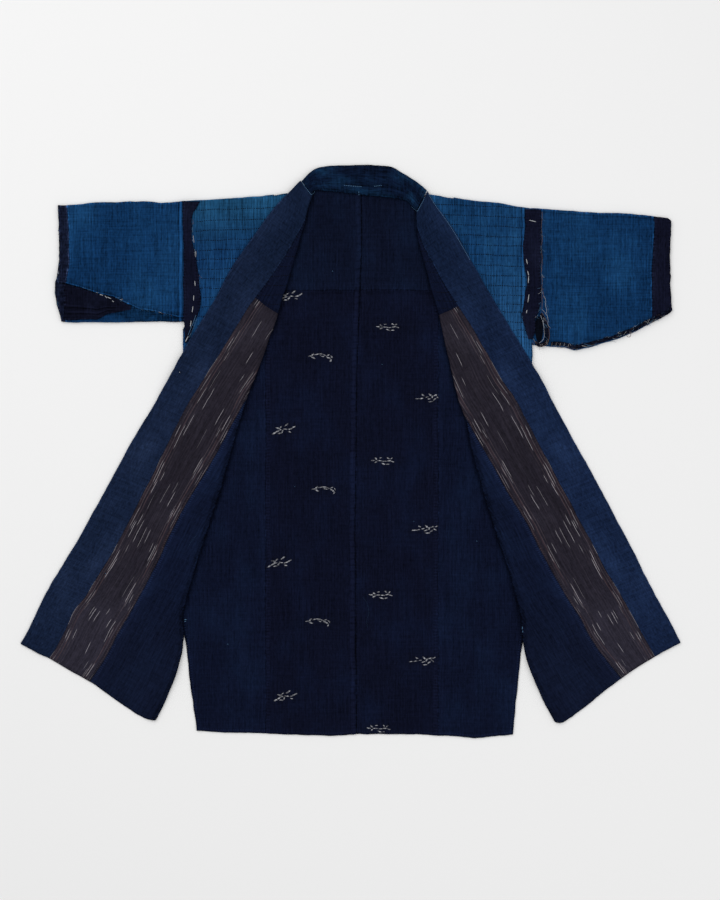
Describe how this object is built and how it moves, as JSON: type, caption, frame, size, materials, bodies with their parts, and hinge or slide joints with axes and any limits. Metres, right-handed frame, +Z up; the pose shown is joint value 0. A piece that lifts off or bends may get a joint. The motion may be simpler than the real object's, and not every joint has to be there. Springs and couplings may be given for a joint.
{
  "type": "noragi",
  "caption": "Patched indigo work jacket laid flat on its back with both fronts turned open, so that the inside back, the strips and the collar show.",
  "frame": {"origin": "middle of the laid-out garment's footprint, on the surface it lies on", "axes": "+X towards the wearer's left sleeve, which is on the right as laid out, +Y towards the collar, +Z up from the surface"},
  "size_m": [1.131, 0.9844, 0.0123],
  "materials": {
    "pale_indigo": "faded plain-weave cotton with rows of dark running stitches, dark inner face",
    "dark_indigo": "dark indigo plain-weave cotton with small white woven-in motifs",
    "side_indigo": "plain indigo cotton, a little worn",
    "strip_indigo": "plain dark blue cotton",
    "brown_kasuri": "grey-brown cotton with fine white dashes along the warp",
    "collar_indigo": "doubled indigo cotton, uneven and faded",
    "band_indigo": "dark indigo cotton held by large running stitches",
    "patch_indigo": "blackish indigo patch cloth",
    "raw_edge": "raw, frayed dark seam edge"
  },
  "bodies": {
    "root": {"back_yoke_left": "dark_indigo", "back_yoke_right": "dark_indigo", "back_centre_left": "dark_indigo", "back_centre_right": "dark_indigo", "back_side_left": "side_indigo", "back_side_right": "side_indigo", "front_left": "pale_indigo", "strip_top_left": "strip_indigo", "front_strip_left": "brown_kasuri", "collar_left": "collar_indigo", "front_right": "pale_indigo", "strip_top_right": "strip_indigo", "front_strip_right": "brown_kasuri", "collar_right": "collar_indigo", "collar_neck": "collar_indigo", "sleeve_left": "pale_indigo", "cuff_left": "band_indigo", "sleeve_right": "pale_indigo", "cuff_right": "band_indigo", "sleeve_patch_left": "patch_indigo", "armhole_band_left": "band_indigo", "armhole_band_right": "band_indigo", "sleeve_seam_right": "raw_edge", "underarm_loop_right": "raw_edge"}
  },
  "joints": []
}
